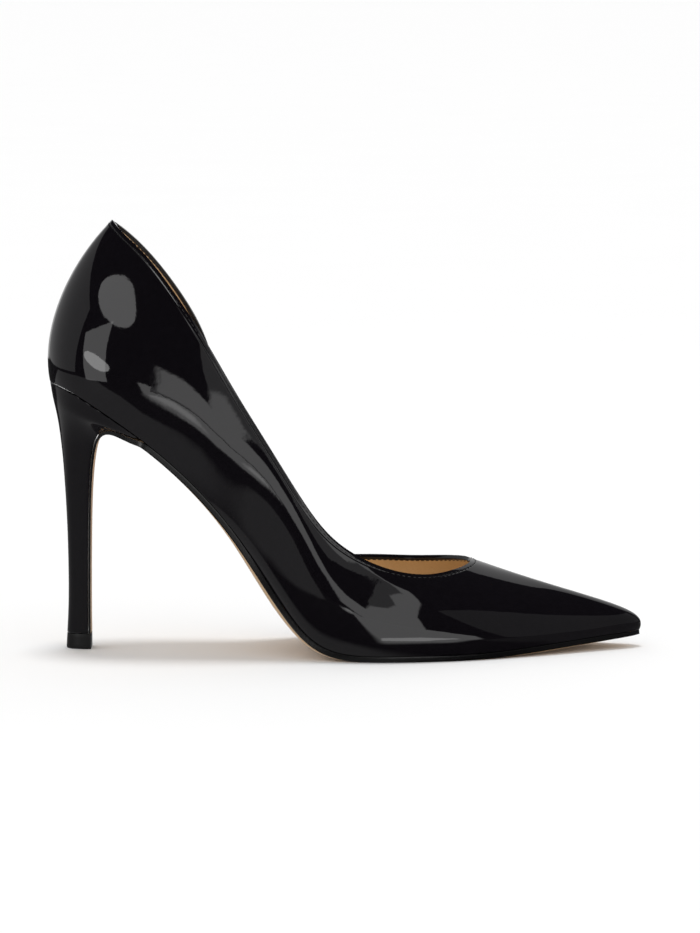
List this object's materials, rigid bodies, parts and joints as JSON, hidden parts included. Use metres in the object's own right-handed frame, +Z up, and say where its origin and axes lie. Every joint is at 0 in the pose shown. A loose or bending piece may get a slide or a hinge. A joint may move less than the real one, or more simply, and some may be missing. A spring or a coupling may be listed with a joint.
{
  "type": "dorsay pump",
  "caption": "Half dorsay pump for the right foot: pointed toe, inner side cut out between heel cup and vamp, slim high heel, thin sole.",
  "frame": {"origin": "middle of the heel tip's bottom face, on the floor", "axes": "+X from the heel to the toe, +Y to the shoe's inner side (the left of the foot), +Z up; the shoe stands on its heel tip and forefoot"},
  "size_m": [0.2323, 0.0735, 0.1679],
  "materials": {
    "patent": "black patent, mirror gloss",
    "sole_leather": "tan face with a black painted edge, satin",
    "heel_cover": "black patent cover, soft gloss",
    "lift": "dark matte",
    "lining": "beige, satin"
  },
  "bodies": {
    "root": {"upper": "patent", "outsole": "sole_leather", "heel": "heel_cover", "top_lift": "lift", "insole": "lining"}
  },
  "joints": []
}
